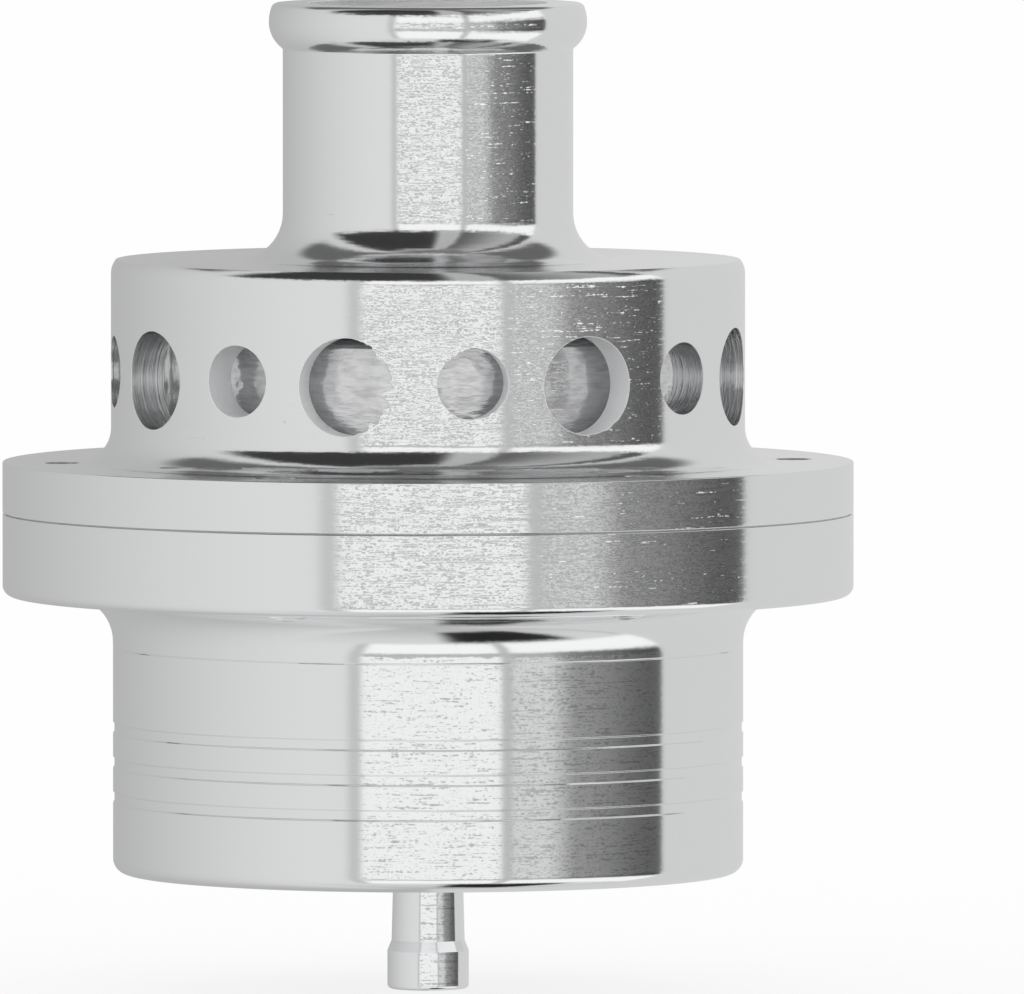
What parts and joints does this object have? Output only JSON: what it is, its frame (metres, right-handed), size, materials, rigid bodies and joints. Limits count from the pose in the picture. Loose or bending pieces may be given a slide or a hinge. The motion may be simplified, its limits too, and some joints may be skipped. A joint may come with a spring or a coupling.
{
  "type": "blow off valve",
  "caption": "Turned aluminium piston blow off valve with a beaded hose spigot, a ring of radial vent ports, a screwed flange joint and a grooved cup with a vacuum nipple.",
  "frame": {"origin": "centre of the open mouth of the inlet spigot, in the plane of its rim", "axes": "+Z along the valve's axis and out of the inlet mouth, so the valve hangs below the origin; -Y is the front that the picture shows"},
  "size_m": [0.0732, 0.0732, 0.085],
  "materials": {
    "turned_aluminium": "fine turned, bare",
    "polished_aluminium": "polished",
    "spring_steel": "bright wire and washer",
    "screw_steel": "plain stainless",
    "seal_rubber": "matte black",
    "guide_ptfe": "off white, waxy"
  },
  "bodies": {
    "housing": {"upper_housing": "turned_aluminium", "lower_housing": "turned_aluminium", "vacuum_nipple": "turned_aluminium", "main_spring": "spring_steel", "spring_seat": "spring_steel", "bump_stop": "seal_rubber", "joint_o_ring": "seal_rubber", "flange_screw_1": "screw_steel", "flange_screw_2": "screw_steel", "flange_screw_3": "screw_steel", "flange_screw_4": "screw_steel", "flange_screw_5": "screw_steel", "flange_screw_6": "screw_steel"},
    "piston": {"piston": "polished_aluminium", "face_seal": "seal_rubber", "upper_guide_ring": "guide_ptfe", "lower_guide_ring": "guide_ptfe", "piston_o_ring": "seal_rubber"}
  },
  "joints": [
    {"name": "piston_slide", "type": "slide", "parent": "housing", "child": "piston", "axis": [0, 0, -1], "range_m": [0, 0.0085], "stiffness_N_per_m": 1750, "springref_m": -0.006, "deforming": ["main_spring"]}
  ]
}
